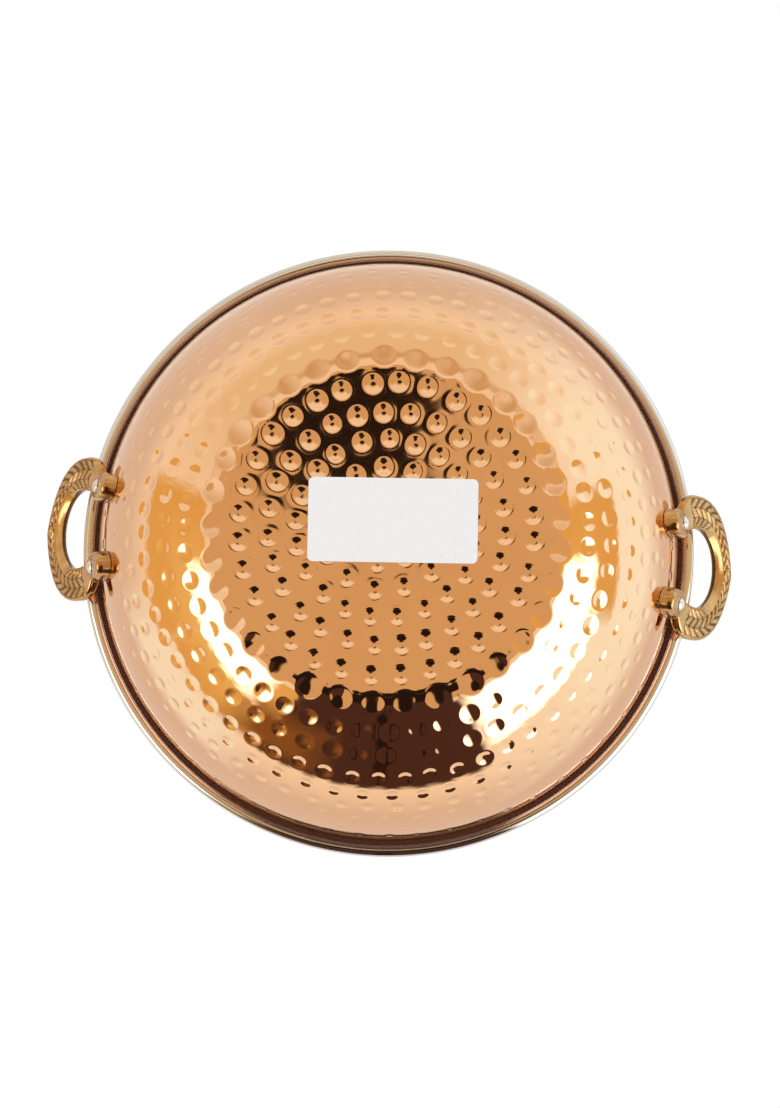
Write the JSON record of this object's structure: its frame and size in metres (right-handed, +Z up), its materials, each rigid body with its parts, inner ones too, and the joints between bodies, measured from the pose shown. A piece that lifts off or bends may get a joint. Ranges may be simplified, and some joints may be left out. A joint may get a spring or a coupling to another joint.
{
  "type": "kadai",
  "caption": "Round-bottomed serving pan: hammered copper shell over a stainless bowl with a rolled lip, and fixed cast brass ring handles riveted under the rim.",
  "frame": {"origin": "centre of the flat base, on the surface the bowl stands on", "axes": "+Z up through the bowl's mouth, the handles point along -X and +X"},
  "size_m": [0.2134, 0.1882, 0.0697],
  "materials": {
    "copper": "hammered, mirror polished copper",
    "stainless": "polished stainless steel",
    "cast_brass": "cast, carved and hand polished",
    "rivet_steel": "polished stainless steel"
  },
  "bodies": {
    "root": {"outer_shell": "copper", "inner_bowl": "stainless", "left_handle": "cast_brass", "right_handle": "cast_brass", "left_handle_rivets": "rivet_steel", "right_handle_rivets": "rivet_steel"}
  },
  "joints": []
}
